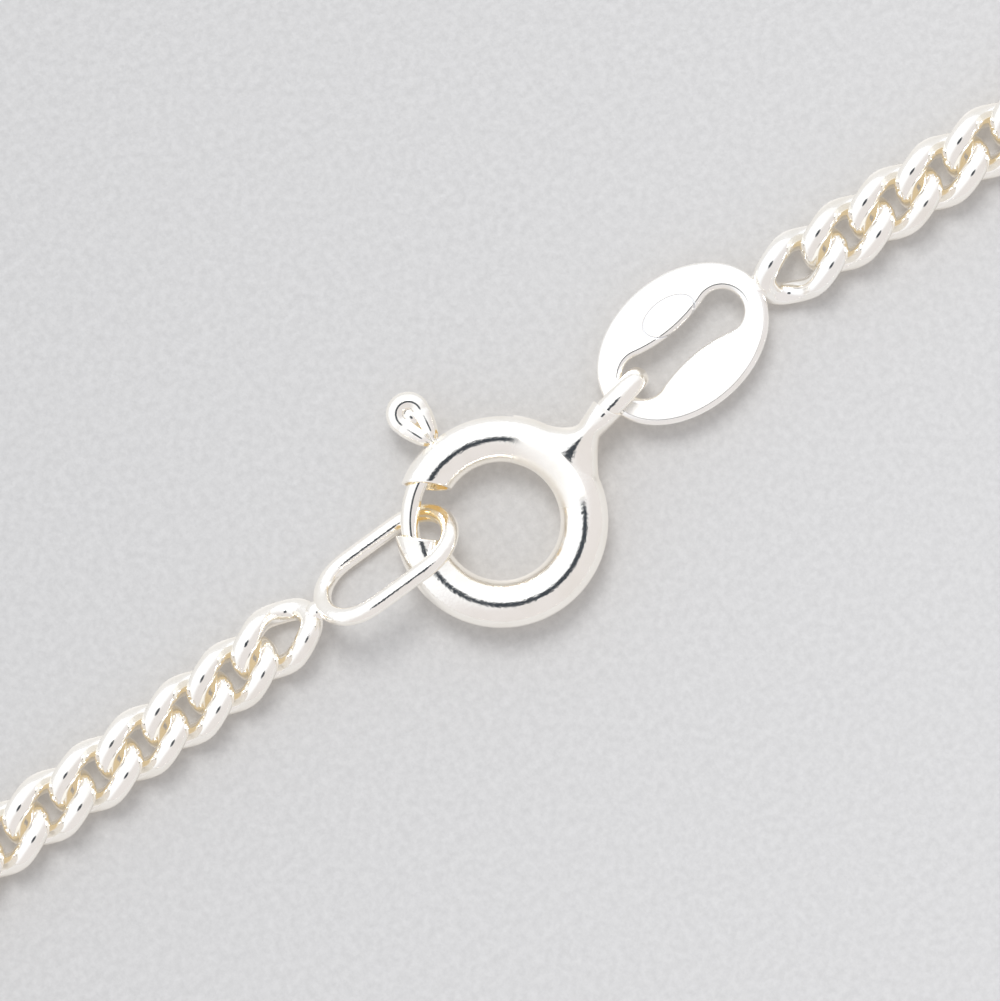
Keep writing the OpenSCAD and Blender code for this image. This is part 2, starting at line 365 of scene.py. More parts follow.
TAG_AT = (CLASP + polar(NECK_END + EYE_HALF, NECK_TURN)
          + polar(TAG_HALF[0] - TAG_RIM / 2, TAG_TURN) - [0, 0, TAG_SAG])
TAG_TIP = TAG_AT + polar(TAG_HALF[0], TAG_TURN)
RIGHT_REACH = TAG_TIP[0] - CLASP[0] + TAG_JOINT + HALF_LEN
LEFT_REACH = END_ALONG + END_HALF + END_SIDE + END_JOINT + HALF_LEN
print("First link", round(RIGHT_REACH, 3), "mm to the right, last", round(LEFT_REACH, 3), "left")

# %% Distance along the loop to place and heading
PITCH = 1.86
LINKS = 232
BOW_R = 450.0
BOW_LEN = 54.0
RING_DROP = 1.46
HANG = 0.38
HANG_AT = 11.8
HANG_LEN = 6.5

loop_len = (LINKS - 1) * PITCH + RIGHT_REACH + LEFT_REACH
side_len = loop_len / 2 - BOW_LEN
bow_turn = BOW_LEN / 2 / BOW_R
round_r = side_len / (np.pi - 2 * bow_turn)
reach_x = (BOW_R - round_r) * np.sin(bow_turn)
reach_y = (BOW_R - round_r) * np.cos(bow_turn)
loop_y = CLASP[1] + RING_DROP + reach_y - BOW_R


def lie(along):
    """X, Y and heading at distances along the loop. Every arc is middle + radius * (sin turn,
    cos turn), its turn growing by distance / radius, and the heading is minus the turn. On the
    last arc the chain hangs inside the line by h = HANG exp(-(d / HANG_LEN)^2), d being the
    distance from where it hangs most, and the heading drops by the arc tangent of dh / dd."""
    q = np.mod(along, loop_len)
    starts = np.cumsum([0, BOW_LEN / 2, side_len, BOW_LEN, side_len])
    arc = np.searchsorted(starts, q, side="right") - 1
    radius = np.array([BOW_R, round_r, BOW_R, round_r, BOW_R])[arc]
    first_turn = np.array([0, bow_turn, np.pi - bow_turn, np.pi + bow_turn,
                           2 * np.pi - bow_turn])[arc]
    turn = first_turn + (q - starts[arc]) / radius
    middle_x = np.array([0, reach_x, 0, -reach_x, 0])[arc]
    middle_y = np.array([-reach_y, 0, reach_y, 0, -reach_y])[arc]
    d = q - loop_len - CLASP[0] + HANG_AT
    hang = np.where(arc == 4, HANG * np.exp(-(d / HANG_LEN) ** 2), 0)
    slope = -2 * d / HANG_LEN**2 * hang
    reach = radius - hang
    x = middle_x + reach * np.sin(turn)
    y = loop_y + middle_y + reach * np.cos(turn)
    return x, y, -turn - np.arctan(slope)


print("Loop of", round(loop_len, 2), "mm, round ends of", round(round_r, 2), "mm radius")

# %% [markdown]
# ## A curb link
# A curb link starts as a plain oval ring of wire. Its two ends are then twisted against each
# other, until the chain lies flat on a table with every link leaning the same way. The surface
# says just that: the middle line is a full oval, and the plane of the oval is rolled by 46 degrees
# from its middle to each end, one way at one end and the other way at the other. The pliers grip
# the ends, so most of the roll is near the middle.

# %% The middle line of a link, and its wire
HALF_WIDE = 0.83
TWIST = math.radians(46)
TWIST_START = 0.6
FULLNESS = 2.6
WIRE = 0.76
FINE_LINK = (64, 20)
PLAIN_LINK = (16, 6)


def bend(value, power):
    """A number raised to a power with its sign kept."""
    return np.sign(value) * np.abs(value) ** power


def oval_line(t):
    """With u = bend(cos t) and v = bend(sin t), both to 2 / fullness, and s the twist's start:
    x = half length * u, and y = half width * v is rolled about X by minus
    twist * u * sqrt((1 + s^2) / (u^2 + s^2))."""
    u = bend(np.cos(t), 2 / FULLNESS)
    y = HALF_WIDE * bend(np.sin(t), 2 / FULLNESS)
    roll = -TWIST * u * np.sqrt((1 + TWIST_START**2) / (u**2 + TWIST_START**2))
    return np.stack([HALF_LEN * u, y * np.cos(roll), y * np.sin(roll)], 1), roll


def even_turns(count):
    """Values of t that cut the middle line into equal lengths, found from a fine table."""
    fine = np.linspace(0, 2 * np.pi, 4001)
    run = run_along(oval_line(fine)[0])
    return np.interp(np.arange(count) / count * run[-1], run, fine)


def link_grid(steps, around):
    """A link lying along X round its own middle: a round wire swept along the middle line."""
    t = even_turns(steps)
    bit = 0.01
    line, roll = oval_line(t)
    along = unit(oval_line(t + bit)[0] - oval_line(t - bit)[0])
    flat = np.stack([0 * roll, -np.sin(roll), np.cos(roll)], 1)
    side = unit(np.cross(flat, along))
    return sweep(line, side, np.cross(along, side), WIRE / 2, WIRE / 2, around)


LINK_Z = np.abs(oval_line(np.linspace(0, 2 * np.pi, 720))[0][:, 2]).max() + WIRE / 2


def placed_links(numbers, steps, around):
    """Grids of the links with these numbers, each turned and moved to its place on the loop."""
    x, y, heading = lie(CLASP[0] + RIGHT_REACH + np.asarray(numbers) * PITCH)
    places = np.stack([x, y, np.full(len(x), LINK_Z)], 1)
    return turned(link_grid(steps, around), heading[:, None, None]) + places[:, None, None]


print("A link's middle line is", 2 * HALF_LEN, "mm long and lies", round(float(LINK_Z), 3), "mm up")

# %% [markdown]
# ## The links next to the clasp
# These twenty links on each side are near the camera, so each gets a fine grid and stays a piece
# of its own that stands for its CAD link.

# %% Forty fine links
OWN_LINKS = 20
near = {"right": np.arange(1, OWN_LINKS + 1), "left": LINKS - 1 - np.arange(1, OWN_LINKS + 1)}
for hand, numbers in near.items():
    for count, grid in enumerate(placed_links(numbers, *FINE_LINK), 1):
        make_piece(f"curb_link_{hand}_{count}", [skin(grid, True)], chain_silver, "chain_silver",
                   "necklace", f"link_{hand}_{count}")
print("Near links:", len(made_pieces), "of", made_pieces[-1][1], "triangles")

# %% [markdown]
# ## The chain behind
# The CAD holds the far stretch as a plain tube. The real thing is the same chain going on, so the
# tube gives way to 190 more links. They are far away and many, so each has fewer than a hundred
# faces, and smooth shading does the rest.

# %% A hundred and ninety plain links as one piece
far_numbers = np.arange(OWN_LINKS + 1, LINKS - 1 - OWN_LINKS)
far_links = [skin(grid, True) for grid in placed_links(far_numbers, *PLAIN_LINK)]
make_piece("chain_behind", far_links, chain_silver, "chain_silver", "necklace", "chain_back",
           crease=180)
print("Far links:", len(far_links), "in", made_pieces[-1][1], "triangles")

# %% [markdown]
# ## The tube of the spring ring
# The clasp's case is a thin silver tube bent to a ring. A piece is sawn out of it straight across,
# so both cut ends are flat and show the wall and the hollow inside, and a slit on the outer side
# lets the trigger slide. One closed skin does it: along the outside, over the sawn edge, back
# along the inside and over the other edge. The saw ran askew on the trigger's side, so one looks
# into the tube there. The faces in the slit are left out, outside and inside, and the two holes
# are joined by a wall. The latch's own sizes say how wide and how long the slit has to be.

# %% Sizes and angles of the ring
RING_C = 2.74
TUBE = 0.79
BORE = 0.65
MOUTH_TURN = 137.5
MOUTH_HALF = 0.86
SLANT = {-1: 0.17, 1: 0.0}
LATCH_WIRE = 0.31
LATCH_ROOM = 0.06
LATCH_GRIP = 0.45
LATCH_R = RING_C + BORE - LATCH_ROOM - LATCH_WIRE
TRAVEL = math.degrees(2 * math.asin(MOUTH_HALF / LATCH_R) + LATCH_GRIP / LATCH_R)
KNOB_TURN = 95.0
STEM = 0.25
SLIT_HALF = STEM + LATCH_ROOM
SLIT_SIDE = math.degrees(SLIT_HALF / LATCH_R)
print("Latch runs at", round(LATCH_R, 2), "mm and turns by", round(TRAVEL, 2), "degrees")

# %% A golden hollow, and a dull top next to the neck
# Inside the tube light is reflected again and again, and each time silver takes a little blue, so
# the hollow's colour is painted golden as that reflected light.
GOLDEN_REFLECTION = (0.94, 0.82, 0.60, 1)
WALL_FROM = 0.67 * MM
WALL_TO = 0.71 * MM
from_x, from_y, from_z = (ring_place.split(axis) - CLASP[axis] * MM for axis in range(3))
from_line = from_x.reach(from_y) - RING_C * MM
hollow = 1 - from_line.reach(from_z).between(WALL_FROM, WALL_TO)
plug(ring_shader, "Base Color", hollow.mix(plugged(ring_shader, "Base Color"), GOLDEN_REFLECTION))
# The heat of soldering left the tube's top dull for some way on both sides of the neck.
DULL_BY = 0.38
DULL_RUN = (1.1 * MM, 1.95 * MM)
DULL_OUT = (0.16 * MM, 0.28 * MM)
solder = polar(RING_C, NECK_TURN) * MM
near_neck = 1 - (from_x - solder[0]).reach(from_y - solder[1]).between(*DULL_RUN)
dulled = near_neck * (1 - from_line.between(*DULL_OUT))
plug(ring_shader, "Roughness", plugged(ring_shader, "Roughness") + DULL_BY * dulled)
print("Ring silver is", DULL_BY, "rougher next to the neck")

# %% Rows and columns of the tube
SLIT_COLS = 8
TUBE_COLS = 44
TUBE_ROWS = (83, 19, 7)
CORNER = 0.035
# Degrees along the ring: from a cut to the next row, and over which rows lean
CUT_ROOM = 2.5
LEAN_RUN = 18


def tube_columns(size):
    """Angles round the tube, with columns exactly on both edges of the slit."""
    edge = np.arcsin(SLIT_HALF / size)
    return np.concatenate([np.linspace(-edge, edge, SLIT_COLS + 1)[:-1],
                           np.linspace(edge, 2 * np.pi - edge, TUBE_COLS + 1)[:-1]])


def ring_rows():
    """Angles of the rows along the tube, half the mouth's angle, the slit's first row and last, and
    the cut's rows as (distance back from it, tube size), which round both corners of the wall."""
    e = CORNER
    half = math.degrees(math.asin(MOUTH_HALF / (RING_C + TUBE)))
    slit_from = 360 + KNOB_TURN - TRAVEL - SLIT_SIDE
    slit_to = 360 + KNOB_TURN + SLIT_SIDE
    before, within, after = TUBE_ROWS
    spans = [np.linspace(MOUTH_TURN + half + CUT_ROOM, slit_from, before + 1)[:-1],
             np.linspace(slit_from, slit_to, within + 1)[:-1],
             np.linspace(slit_to, MOUTH_TURN + 360 - half - CUT_ROOM, after + 1)]
    run = np.concatenate(spans)
    slit = (before, before + within)
    corner = [(e, TUBE), (0.3 * e, TUBE - 0.3 * e), (0, TUBE - e),
              (0, BORE + e), (0.3 * e, BORE + 0.3 * e), (e, BORE)]
    return run, half, slit, np.array(corner)


print("Tube:", len(ring_rows()[0]), "rows along it of", len(tube_columns(TUBE)), "points each")

# %% Points of the tube and of its sawn edges
def ring_point(turn, round_angle, size):
    """Torus: (C + size cos v) in the direction turn, and size sin v up."""
    reach = RING_C + size * np.cos(round_angle)
    return np.stack([reach * np.cos(turn), reach * np.sin(turn), size * np.sin(round_angle)], -1)


def edge_turn(side, v, size, back=0.0):
    """Angle from the mouth's middle line to a sawn edge: asin of (mouth half + slant * height +
    back) over the reach."""
    apart = MOUTH_HALF + SLANT[side] * size * np.sin(v) + back
    return np.arcsin(apart / (RING_C + size * np.cos(v)))


def run_grid(run, half, size):
    """Rows along the tube. Close to a cut, each row leans over to lie along it."""
    v = tube_columns(size)[None]
    first = np.clip(1 - (run - run[0]) / LEAN_RUN, 0, 1)[:, None]
    last = np.clip(1 - (run[-1] - run) / LEAN_RUN, 0, 1)[:, None]
    turn = (run[:, None] + (np.degrees(edge_turn(1, v, size)) - half) * first
            - (np.degrees(edge_turn(-1, v, size)) - half) * last)
    return ring_point(np.radians(turn), np.broadcast_to(v, turn.shape), size)


def cut_grid(side, corner):
    """Rows over one sawn edge, each set back and sized as the corner says."""
    rows = []
    outer, inner = tube_columns(TUBE), tube_columns(BORE)
    for back, size in corner:
        v = outer + (inner - outer) * (TUBE - size) / (TUBE - BORE)
        turn = math.radians(MOUTH_TURN) + side * edge_turn(side, v, size, back)
        rows.append(ring_point(turn, v, size))
    return np.array(rows)


print("Mouth: open by", round(2 * math.degrees(edge_turn(1, 0, TUBE)), 1), "degrees outside")

# %% The tube with its slit
def ring_tube():
    """Points of the whole case, its faces but those in the slit, and the wall that joins the
    slit's outer rim to its inner one."""
    run, half, slit, corner = ring_rows()
    outside, inside = run_grid(run, half, TUBE), run_grid(run, half, BORE)
    end, start = cut_grid(-1, corner), cut_grid(1, corner[::-1])
    grid = np.concatenate([outside, end, inside[::-1], start])
    rows, around = grid.shape[:2]
    row, col = np.meshgrid(np.arange(rows), np.arange(around), indexing="ij")
    back = len(outside) + len(end) + len(inside) - 1
    open_out = (row >= slit[0]) & (row < slit[1])
    open_in = (row >= back - slit[1]) & (row < back - slit[0])
    keep = ~((open_out | open_in) & (col < SLIT_COLS))
    quads = grid_quads(rows, around, True)[keep.ravel()]
    up = np.arange(slit[0], slit[1])
    over = np.arange(SLIT_COLS)
    rim = np.concatenate([
        np.stack([up, 0 * up], 1), np.stack([0 * over + slit[1], over], 1),
        np.stack([up[::-1] + 1, 0 * up + SLIT_COLS], 1),
        np.stack([0 * over + slit[0], SLIT_COLS - over], 1)])
    outer = rim[:, 0] * around + rim[:, 1]
    inner = (back - rim[:, 0]) * around + rim[:, 1]
    wall = np.stack([outer, inner, np.roll(inner, -1), np.roll(outer, -1)], 1)
    return grid.reshape(-1, 3), quads, wall


def same_way(quads, wall):
    """The wall wound so that it runs its shared edges the other way to the tube's faces."""
    edges = set(map(tuple, np.stack([quads, np.roll(quads, -1, 1)], -1).reshape(-1, 2)))
    shared = (wall[0, 0], wall[0, 1]) in edges or (wall[0, 3], wall[0, 0]) in edges
    return wall[:, ::-1] if shared else wall


tube_points, tube_quads, slit_wall = ring_tube()
tube_quads = np.concatenate([tube_quads, same_way(tube_quads, slit_wall)])
tube_skin = outward(tube_points + CLASP, tube_quads, np.zeros((0, 3), int))
print("Ring tube:", len(tube_quads), "faces, metal", round(volume(*tube_skin), 2), "cubic mm")

# %% [markdown]
# ## Neck, collar and eye
# The eye is a small hairpin of wire that stands upright, and a neck joins it to the ring. The neck
# grows out of the tube without a seam, because solder has filled the corner. To get that flow,
# each line of the neck starts on the ring, where it leaves along the ring's own surface, and
# bends over to the narrow waist on a cubic curve. From there a collar opens like a fishtail
# round both wires of the eye.

# %% Foot of the neck
WAIST = np.array([4.18, 0.41, 0.88])
COLLAR = np.array([NECK_END, 0.508, 1.13])
FOOT_SPREAD = 21
FOOT_ASKEW = 2
FOOT_HIGH = math.radians(86)
FOOT_UNDER = 0.07
FOOT_OVER = 0.001
NECK_COLS = 56
FLOW_ROWS = 17
# Each pair is a middle value, and what is added on the neck's left and taken off on its right
LEAD = (0.26, 0.08)
WAIST_SIDE = (WAIST[1], -0.04)
WAIST_REACH = (WAIST[0], -0.08)
COLLAR_SIDE = (COLLAR[1], 0.022)
# How much the collar's end leans and is hollowed, and the way the cubic curves reach the waist
FISHTAIL = (-0.17, 0.10)
INTO_WAIST_RIGHT = (0.15, -0.25)
INTO_WAIST_UP = 0.33
INTO_WAIST_LEN = (0.25, 0.20)
# Rows of the collar as (share of the way from the waist, inset, how far back)
COLLAR_ROWS = [(0.12, 0, 0), (0.25, 0, 0), (0.4, 0, 0), (0.55, 0, 0), (0.7, 0, 0), (0.84, 0, 0),
               (0.94, 0, 0), (1, 0.004, 0.02), (1, 0.015, 0.004), (1, 0.04, 0), (1, 0.2, 0)]


def from_clasp(points, turn):
    """From along, across and up what sticks out of the ring in the direction turn to the
    necklace's own directions."""
    return turned(points, turn) + CLASP


def foot_rows(u, shares, size):
    """Loops on the ring round the neck's foot: turn = share * spread * cos u, height angle =
    share * FOOT_HIGH * sin u. The spread is larger on the neck's right."""
    share = np.asarray(shares)[:, None]
    spread = np.radians(FOOT_SPREAD - FOOT_ASKEW * np.cos(u))
    return ring_point(share * spread * np.cos(u), share * FOOT_HIGH * np.sin(u), size)


print("Foot spreads by", FOOT_SPREAD - FOOT_ASKEW, "and", FOOT_SPREAD + FOOT_ASKEW, "degrees")

# %% Neck and collar
def neck_grid():
    """Foot under the ring's surface, cubic flow to the waist, then the collar, whose section goes
    from an ellipse to a rounded box, and its end. The neck is fuller on its right."""
    u = np.linspace(0, 2 * np.pi, NECK_COLS, endpoint=False)
    side, rise = np.cos(u), np.sin(u)
    right = (side < 0) * side
    foot = foot_rows(u, [0.1, 0.4, 0.7, 1.0], TUBE - FOOT_UNDER)
    start = foot_rows(u, [1.0], TUBE + FOOT_OVER)[0]
    lead = unit(foot_rows(u, [0.99], TUBE)[0] - foot_rows(u, [1.0], TUBE)[0])
    lead = lead * (LEAD[0] + LEAD[1] * side)[:, None]
    waist = np.stack([WAIST_REACH[0] + WAIST_REACH[1] * side,
                      (WAIST_SIDE[0] + WAIST_SIDE[1] * side) * side, WAIST[2] * rise], 1)
    aside = (INTO_WAIST_RIGHT[0] * side + INTO_WAIST_RIGHT[1]) * right
    slope = unit(np.stack([0 * u + 1, aside, INTO_WAIST_UP * rise], 1))
    slope = slope * (INTO_WAIST_LEN[0] + INTO_WAIST_LEN[1] * np.abs(rise))[:, None]
    t = np.linspace(0, 1, FLOW_ROWS)[:, None, None]
    flow = ((1 - t) ** 3 * start + 3 * t * (1 - t) ** 2 * (start + lead)
            + 3 * t**2 * (1 - t) * (waist - slope) + t**3 * waist)
    end = COLLAR[0] + FISHTAIL[0] * side + FISHTAIL[1] * side**2
    wide = (COLLAR_SIDE[0] + COLLAR_SIDE[1] * side) * side
    rows = []
    for s, inset, back in COLLAR_ROWS:
        box = (1 + 0.8 * min(s * 1.3, 1)) ** -1
        across = waist[:, 1] + s * (wide - waist[:, 1])
        across = np.abs(across) * bend(side, box) / np.maximum(np.abs(side), 1e-6)
        height = (WAIST[2] + (0.7 * s + 0.3 * s**2) * (COLLAR[2] - WAIST[2])) * bend(rise, box)
        rows.append(np.stack([waist[:, 0] + s * (end - waist[:, 0]) - back,
                              across * (1 - 2 * inset), height * (1 - inset)], 1))
    return np.concatenate([foot, flow, np.array(rows)])


neck_skin = skin(from_clasp(neck_grid(), NECK_TURN), False)
print("Neck and collar:", round(volume(*neck_skin), 3), "cubic mm")

# %% The eye's hairpin
EYE_C = 0.73
EYE_FROM = 4.75
EYE_BEND = 5.45
EYE_TIP = 6.52
EYE_WIRE = (0.39, 0.35)
WIRE_SIDES = 24


def hairpin_grid():
    """Straight out at EYE_C up, half an ellipse over the tip, and straight back below. The wire is
    oval in section: wider across than in the hairpin's own plane."""
    a = np.linspace(np.pi / 2, -np.pi / 2, 33)
    curve = np.stack([EYE_BEND + (EYE_TIP - EYE_BEND) * np.cos(a), 0 * a, EYE_C * np.sin(a)], 1)
    arm = np.linspace(EYE_FROM, EYE_BEND, 9)[:-1]
    upper = np.stack([arm, 0 * arm, 0 * arm + EYE_C], 1)
    line = np.concatenate([upper, curve, upper[::-1] * [1, 1, -1]])
    along = unit(np.gradient(line, axis=0))
    side = np.zeros_like(line) + [0, 1, 0]
    return sweep(line, side, np.cross(along, side), *EYE_WIRE, WIRE_SIDES)


eye_skin = skin(from_clasp(hairpin_grid(), NECK_TURN), False)
make_piece("clasp_ring", [tube_skin, neck_skin, eye_skin], ring_silver, "ring_silver", "necklace",
           "spring_ring", crease=35)
print("Clasp ring:", made_pieces[-1][1], "triangles")

# %% [markdown]
# ## The latch and its trigger
# The latch is one piece of wire inside the tube. Its tip closes the mouth, and at its other end
# the wire leaves the slit, is bent round a small pin to a tight loop, and goes back in, which
# makes the drop-shaped trigger with a dimple in the middle and a crease down its neck. So the
# trigger is that wire: it goes out on one side, round the loop and back on the other side, and
# the two runs touch along the crease.

# %% Latch wire with rounded ends
LATCH_TURNS = (86, 158)
END_ROWS = 6


def rounded_ends(line, along, size):
    """Adds rows past both ends of a wire: size * sin b further out, with the width cut to cos b,
    for b up to nearly a right angle. Gives the longer line and each row's share of the width."""
    b = np.linspace(0, np.pi / 2, END_ROWS + 1)[1:] * 0.98
    head = line[0] - along[0] * (size * np.sin(b))[::-1, None]
    tail = line[-1] + along[-1] * (size * np.sin(b))[:, None]
    share = np.concatenate([np.cos(b)[::-1], np.ones(len(line)), np.cos(b)])
    return np.concatenate([head, line, tail]), share


def latch_wire():
    """An arc inside the tube, both ends rounded."""
    turn = np.radians(np.linspace(*LATCH_TURNS, 40))
    out = np.stack([np.cos(turn), np.sin(turn), 0 * turn], 1)
    along = np.stack([-np.sin(turn), np.cos(turn), 0 * turn], 1)
    line, share = rounded_ends(LATCH_R * out, along, LATCH_WIRE)
    side = np.concatenate([np.repeat(out[:1], END_ROWS, 0), out, np.repeat(out[-1:], END_ROWS, 0)])
    rise = np.zeros_like(line) + [0, 0, 1]
    return sweep(line, side, rise, LATCH_WIRE * share, LATCH_WIRE * share, WIRE_SIDES) + CLASP


latch_skins = [skin(latch_wire(), False)]
print("Latch wire:", round(volume(*latch_skins[0]), 2), "cubic mm")

# %% The trigger's bent wire
KNOB_AT = 4.695
KNOB_BEND = 0.42
KNOB_WIRE = 0.32
KNOB_HALF_TURN = 118
KNOB_STEPS = 141
WEB_AT = 4.58
WEB_HALF = (0.34, 0.24, 0.15)
# Stations of the wire as (reach, across, half thickness across, half thickness up)
KNOB_ARM = np.array([[3.05, 0.08, 0.16, 0.24], [3.55, 0.09, 0.15, 0.24],
                     [3.62, 0.14, 0.20, 0.30], [3.76, 0.19, 0.25, 0.34],
                     [4.10, 0.29, 0.30, 0.35], [4.40, 0.37, 0.33, 0.335]])


def trigger_wire():
    """The wire runs out of the slit, along one side, round the loop and back on the other side.
    A moving mean of five samples rounds the corners."""
    a = np.radians(np.linspace(KNOB_HALF_TURN, -KNOB_HALF_TURN, 27))
    loop = np.stack([KNOB_AT + KNOB_BEND * np.cos(a), KNOB_BEND * np.sin(a),
                     0 * a + KNOB_WIRE, 0 * a + KNOB_WIRE], 1)
    stations = np.concatenate([KNOB_ARM, loop, KNOB_ARM[::-1] * [1, -1, 1, 1]])
    run = run_along(stations[:, :2])
    path = at_runs(stations, run, np.linspace(0, run[-1], KNOB_STEPS))
    padded = np.concatenate([np.repeat(path[:1], 2, 0), path, np.repeat(path[-1:], 2, 0)])
    soft = sum(padded[k:k + len(path)] for k in range(5)) / 5
    line = np.stack([soft[:, 0], soft[:, 1], 0 * soft[:, 0]], 1)
    along = unit(np.gradient(line, axis=0))
    rise = np.zeros_like(line) + [0, 0, 1]
    return sweep(line, np.cross(rise, along), rise, soft[:, 2], soft[:, 3], WIRE_SIDES)


# The web is the thin floor of the dimple, which closes the loop.
web = ellipsoid([WEB_AT, 0, 0], WEB_HALF, 15, 24)
for grid in (trigger_wire(), web):
    latch_skins.append(skin(from_clasp(grid, math.radians(KNOB_TURN)), False))
make_piece("sprung_latch", latch_skins, latch_silver, "latch_silver", "latch", "latch", crease=60)
print("Latch and trigger:", made_pieces[-1][1], "triangles")

# %% [markdown]
# ## The oval tag
# The tag is stamped from sheet: an oval with a slot whose sides swell inwards between two round
# ends, so that it hangs in the eye at one end. Tumbling has rounded its edges. Both outlines are
# cut into the same number of steps, so one ring of points can turn into the next all the way
# round the section: over the rim, across the face, over the slot's edge and back underneath.

# %% Outlines of the tag
TAG_THICK = 0.30
SLOT_END = 0.73
SLOT_AT = TAG_HALF[0] - TAG_RIM - SLOT_END
SLOT_WAIST = 0.49


def mirrored(quarter):
    """A whole outline from its quarter between the long and the short axis."""
    top = np.concatenate([quarter, quarter[-2::-1] * [-1, 1]])
    return np.concatenate([top, top[-2:0:-1] * [1, -1]])


def slot_outline(steps):
    """Round the slot's end, then along the wide arc that is tangent to it and to the waist. Its
    radius is (at^2 + waist^2 - end^2) / (2 (end - waist))."""
    wide = (SLOT_AT**2 + SLOT_WAIST**2 - SLOT_END**2) / (2 * (SLOT_END - SLOT_WAIST))
    meet = math.atan2(SLOT_WAIST + wide, -SLOT_AT)
    a = np.linspace(0, meet, 200)
    round_end = np.stack([SLOT_AT + SLOT_END * np.cos(a), SLOT_END * np.sin(a)], 1)
    b = np.linspace(math.asin(round_end[-1, 0] / wide), 0, 200)[1:]
    swell = np.stack([wide * np.sin(b), SLOT_WAIST + wide - wide * np.cos(b)], 1)
    line = np.concatenate([round_end, swell])
    run = run_along(line)
    return mirrored(at_runs(line, run, np.linspace(0, run[-1], steps)))


def oval_outline(steps):
    """The rim: half sizes * (cos a, sin a), the steps of a a little longer near the tips."""
    a = np.linspace(0, 1, steps) ** 0.9 * np.pi / 2
    return mirrored(TAG_HALF * np.stack([np.cos(a), np.sin(a)], 1))


def outline_normal(line):
    """Outward normal of a closed outline that runs anticlockwise."""
    along = unit(np.roll(line, -1, 0) - np.roll(line, 1, 0))
    return np.stack([along[:, 1], -along[:, 0]], 1)


print("Slot's ends and waist, mm:", 2 * SLOT_END, 2 * SLOT_WAIST)

# %% Tag surface
TAG_STEPS = 41
RIM_SOFT = 0.24
SLOT_SOFT = 0.20


def edge_rows(outline, out, soft, angles):
    """Rows over a rounded edge: soft * (cos^0.8 b - 1) out and half thickness * sin b up."""
    return [(outline + out * (soft * (abs(math.cos(b)) ** 0.8 - 1)), TAG_THICK / 2 * math.sin(b))
            for b in angles]


def tag_grid():
    """Rows over the rim, across the face, over the slot's edge and back along the underside."""
    slot, rim = slot_outline(TAG_STEPS), oval_outline(TAG_STEPS)
    to_rim, to_slot = outline_normal(rim), -outline_normal(slot)
    b = np.radians(np.linspace(-90, 90, 13))
    shares = np.linspace(0, 1, 14)[1:-1]
    flat_rim, flat_slot = rim - to_rim * RIM_SOFT, slot - to_slot * SLOT_SOFT
    face = [flat_rim + (flat_slot - flat_rim) * share for share in shares]
    rows = (edge_rows(rim, to_rim, RIM_SOFT, b) + [(line, TAG_THICK / 2) for line in face]
            + edge_rows(slot, to_slot, SLOT_SOFT, b[::-1])
            + [(line, -TAG_THICK / 2) for line in face[::-1]])
    grid = np.array([np.column_stack([line, np.full(len(line), z)]) for line, z in rows])
    return turned(grid, TAG_TURN) + TAG_AT


tag_skin = skin(tag_grid(), True)
print("Tag's plate:", len(tag_skin[1]), "faces,", round(volume(*tag_skin), 2), "cubic mm")

# %% [markdown]
# ## The tag's empty oval
# On the real tag a stamp pressed a fine oval line into the face. Here the oval stays empty. The
# line is so shallow that it needs no points of its own: the finish works out how far a spot is
# from the oval, and dips the surface there with Bump. Brushing has made the flat face satin, while
# the rounded rims, which a brush slips over, kept their polish.

# %% Tag silver with a pressed oval line
tag_silver, tag_shader, tag_place = silver_finish("Stamped sheet silver", 0.12, 1.5e-6, 0.0006,
                                                  0.05, (0.98, 0.96, 0.915, 1))
OVAL_FROM_TAG = np.array([0.217, 1.0, 0])
OVAL_AT = TAG_AT + turned(OVAL_FROM_TAG, TAG_TURN)
OVAL_HALF = np.array([0.99, 0.58])
OVAL_TURN = TAG_TURN - math.radians(5)
OVAL_SHADE_GREY = (0.72, 0.72, 0.72, 1)
OVAL_DEEP = 2.0e-5
LINE_FROM = (0.90, 0.95)
LINE_TO = (0.97, 1.03)
off_x = tag_place.split(0) - OVAL_AT[0] * MM
off_y = tag_place.split(1) - OVAL_AT[1] * MM
long_way = (off_x * math.cos(OVAL_TURN) + off_y * math.sin(OVAL_TURN)) / (OVAL_HALF[0] * MM)
short_way = (off_y * math.cos(OVAL_TURN) - off_x * math.sin(OVAL_TURN)) / (OVAL_HALF[1] * MM)
far_oval = long_way.reach(short_way)
on_face = tag_place.split(2).above(TAG_AT[2] * MM)
pressed = far_oval.between(*LINE_FROM) * (1 - far_oval.between(*LINE_TO)) * on_face
# The pressed line is also painted grey: painted shade in its groove.
plug(tag_shader, "Base Color", pressed.mix(plugged(tag_shader, "Base Color"), OVAL_SHADE_GREY))
values = {"Strength": 0.7, "Distance": OVAL_DEEP, "Height": 1 - pressed,
          "Normal": plugged(tag_shader, "Normal")}
plug(tag_shader, "Normal", tag_place.node("ShaderNodeBump", {}, values))
print("Oval line:", OVAL_HALF, "mm half sizes")

# %% A satin face between polished rims
# Satin ends where the rounding has dropped by about a micrometre, and by about three at the rim.
SATIN_BY = 0.42
SATIN_END = (0.8e-6, 1.6e-6)
RIM_EXTRA = 2.1e-6
RIM_FROM = 0.78
FACE_Z = float(TAG_AT[2] + TAG_THICK / 2) * MM
share_x, share_y = ((tag_place.split(axis) - TAG_AT[axis] * MM) / (TAG_HALF[axis] * MM)
                    for axis in range(2))
far_out = share_x * share_x + share_y * share_y
below = FACE_Z - tag_place.split(2)
brushed = 1 - (below - RIM_EXTRA * far_out.above(RIM_FROM)).between(*SATIN_END)
flat_face = brushed * (1 - far_out.above(1.0))
plug(tag_shader, "Roughness", plugged(tag_shader, "Roughness") + SATIN_BY * flat_face)
print("Tag face is", SATIN_BY, "rougher than its rims")

